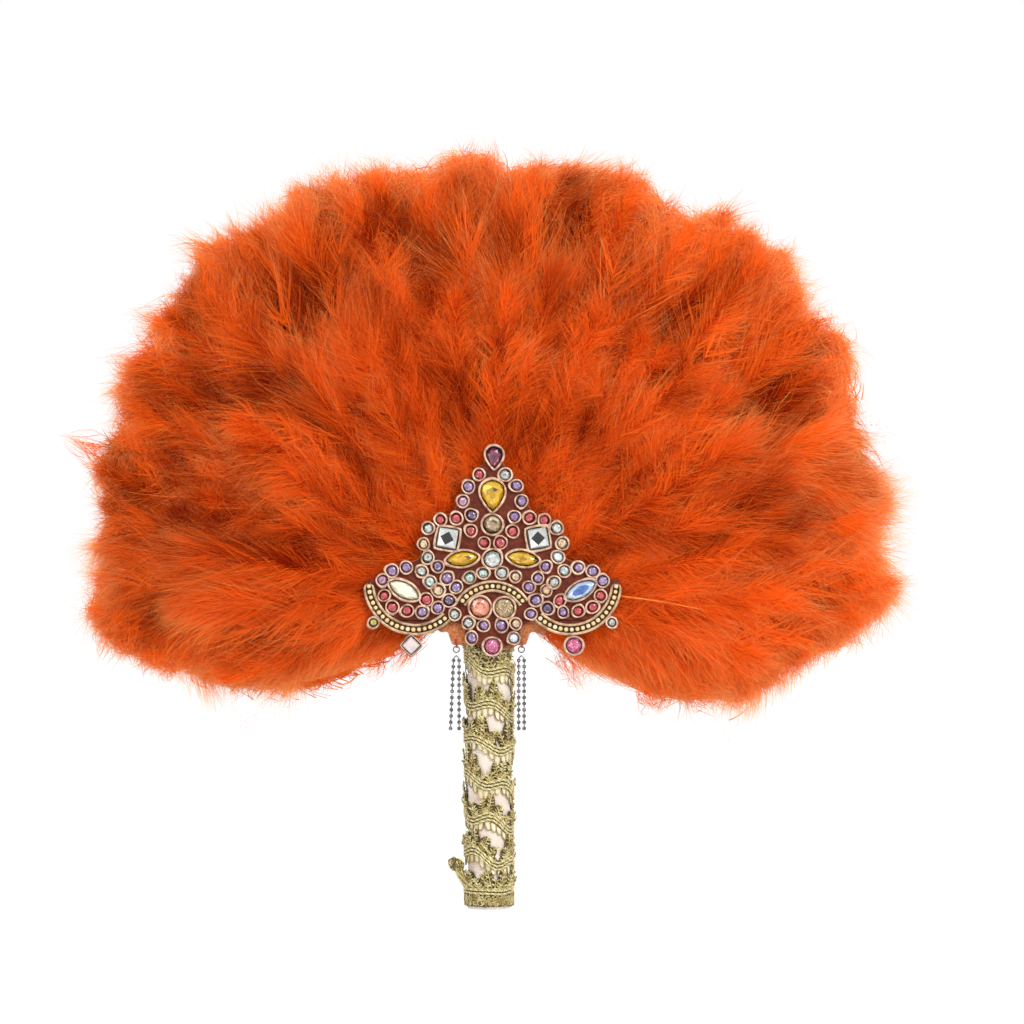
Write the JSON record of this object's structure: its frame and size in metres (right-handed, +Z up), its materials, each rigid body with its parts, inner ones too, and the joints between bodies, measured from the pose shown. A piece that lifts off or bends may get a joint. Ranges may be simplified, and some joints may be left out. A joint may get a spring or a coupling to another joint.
{
  "type": "feather hand fan",
  "caption": "Fixed hand fan of soft orange plumes with a braid-wound satin handle, a jewelled applique over the quills and hanging chain loops.",
  "frame": {"origin": "centre of the handle's flat end face", "axes": "+Z up the handle towards the plumes, front with the applique towards -Y, +X to the viewer's right"},
  "size_m": [0.4554, 0.0554, 0.43],
  "materials": {
    "wood": "matte",
    "satin": "satin",
    "gimp": "satin",
    "board": "matte",
    "felt": "matte",
    "feather": "matte",
    "feather_inner": "matte",
    "rose_gold": "polished",
    "bead_gold": "polished",
    "chain_metal": "polished",
    "violet_glass": "polished",
    "citrine": "polished",
    "smoky_glass": "polished",
    "clear_glass": "polished",
    "opal_glass": "polished",
    "blue_glass": "polished",
    "peach_glass": "polished"
  },
  "bodies": {
    "fan": {"handle_core": "wood", "handle_satin": "satin", "handle_end_cap": "satin", "hub_pin": "wood", "braid_winding": "gimp", "braid_foot_band": "gimp", "hub_board": "board", "back_cover": "felt", "plume_front_01": "feather", "plume_front_02": "feather", "plume_front_03": "feather", "plume_front_04": "feather", "plume_front_05": "feather", "plume_front_06": "feather", "plume_front_07": "feather", "plume_front_08": "feather", "plume_front_09": "feather", "plume_front_10": "feather", "plume_front_11": "feather", "plume_back_01": "feather", "plume_back_02": "feather", "plume_back_03": "feather", "plume_back_04": "feather", "plume_back_05": "feather", "plume_back_06": "feather", "plume_back_07": "feather", "plume_back_08": "feather", "plume_back_09": "feather", "plume_short_01": "feather_inner", "plume_short_02": "feather_inner", "plume_short_03": "feather_inner", "plume_short_04": "feather_inner", "plume_short_05": "feather_inner", "plume_short_06": "feather_inner", "plume_short_07": "feather_inner", "applique_backing": "felt", "setting_frame": "rose_gold", "inset_stones": "violet_glass", "citrine_pear": "citrine", "smoky_round": "smoky_glass", "crystal_round": "clear_glass", "citrine_marquise_left": "citrine", "citrine_marquise_right": "citrine", "square_stone_left": "clear_glass", "square_stone_right": "clear_glass", "opal_marquise": "opal_glass", "blue_marquise": "blue_glass", "peach_round": "peach_glass", "rail_left": "rose_gold", "rail_right": "rose_gold", "rail_arch": "rose_gold", "bead_row_left": "bead_gold", "bead_row_right": "bead_gold", "bead_row_arch": "bead_gold"},
    "left_ring": {"chain_left_ring": "chain_metal"},
    "left_upper": {"chain_left_upper": "chain_metal"},
    "left_lower": {"chain_left_lower": "chain_metal"},
    "right_ring": {"chain_right_ring": "chain_metal"},
    "right_upper": {"chain_right_upper": "chain_metal"},
    "right_lower": {"chain_right_lower": "chain_metal"}
  },
  "joints": [
    {"name": "chain_left_sway", "type": "hinge", "parent": "fan", "child": "left_ring", "pos_m": [-0.01845, -0.0157, 0.14778], "axis": [0, 1, 0], "range_deg": [0, 40]},
    {"name": "chain_left_swing", "type": "hinge", "parent": "left_ring", "child": "left_upper", "pos_m": [-0.01845, -0.0157, 0.14518], "axis": [1, 0, 0], "range_deg": [-60, 60]},
    {"name": "chain_left_bend", "type": "hinge", "parent": "left_upper", "child": "left_lower", "pos_m": [-0.01845, -0.0157, 0.12228], "axis": [1, 0, 0], "range_deg": [-45, 45]},
    {"name": "chain_right_sway", "type": "hinge", "parent": "fan", "child": "right_ring", "pos_m": [0.01845, -0.0157, 0.14778], "axis": [0, -1, 0], "range_deg": [0, 40]},
    {"name": "chain_right_swing", "type": "hinge", "parent": "right_ring", "child": "right_upper", "pos_m": [0.01845, -0.0157, 0.14518], "axis": [1, 0, 0], "range_deg": [-60, 60]},
    {"name": "chain_right_bend", "type": "hinge", "parent": "right_upper", "child": "right_lower", "pos_m": [0.01845, -0.0157, 0.12228], "axis": [1, 0, 0], "range_deg": [-45, 45]}
  ]
}
